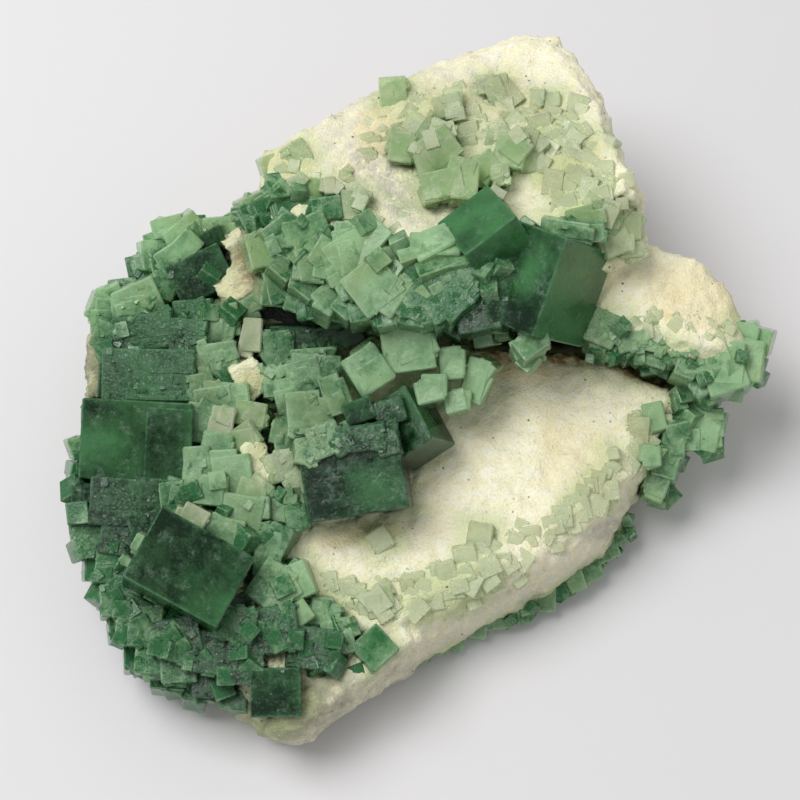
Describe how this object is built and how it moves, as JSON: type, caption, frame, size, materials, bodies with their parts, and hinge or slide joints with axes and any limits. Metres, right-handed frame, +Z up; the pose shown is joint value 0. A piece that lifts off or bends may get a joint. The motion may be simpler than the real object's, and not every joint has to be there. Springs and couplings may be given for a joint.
{
  "type": "fluorite cluster",
  "caption": "Cabinet specimen of green cubic fluorite crystals grown on a pale quartz matrix, with a low front field and a raised plate that overhangs it.",
  "frame": {"origin": "point on the flat cut underside of the matrix, below the middle of the specimen", "axes": "+Z up from the cut underside, +X to the right and +Y to the back when the low field is in front"},
  "size_m": [0.1428, 0.1428, 0.0632],
  "materials": {
    "matrix": "rough sugary quartz and clay, cream to grey-white with yellow stains",
    "dark_fluorite": "deep green translucent fluorite, frosted and dusty faces with lighter edges",
    "green_fluorite": "medium green translucent fluorite with a sugary sparkle",
    "pale_fluorite": "pale green to nearly clear fluorite, glassy faces"
  },
  "bodies": {
    "root": {"back_edge_crystal": "pale_fluorite", "back_small_crystal": "pale_fluorite", "back_yellow_crystal": "pale_fluorite", "centre_cluster": "dark_fluorite", "corner_crystal": "green_fluorite", "field_crystal": "pale_fluorite", "field_left_crystal": "pale_fluorite", "field_white_crystal": "pale_fluorite", "foot_crystal": "dark_fluorite", "left_edge_crystal": "pale_fluorite", "left_end_crystal": "pale_fluorite", "left_lip_crystal": "pale_fluorite", "left_yellow_crystal": "pale_fluorite", "lower_crust": "dark_fluorite", "lower_field_crystal": "pale_fluorite", "matrix": "matrix", "peak_crystal": "pale_fluorite", "plate_left_crystal": "pale_fluorite", "plate_middle_crystal": "pale_fluorite", "right_edge_crystal": "pale_fluorite", "right_rim_crystals": "green_fluorite", "shoulder_crystals": "pale_fluorite", "summit_crystals": "pale_fluorite", "underside_fringe": "green_fluorite", "upper_cluster": "dark_fluorite", "white_crystal": "pale_fluorite", "wing_fringe": "green_fluorite"}
  },
  "joints": []
}
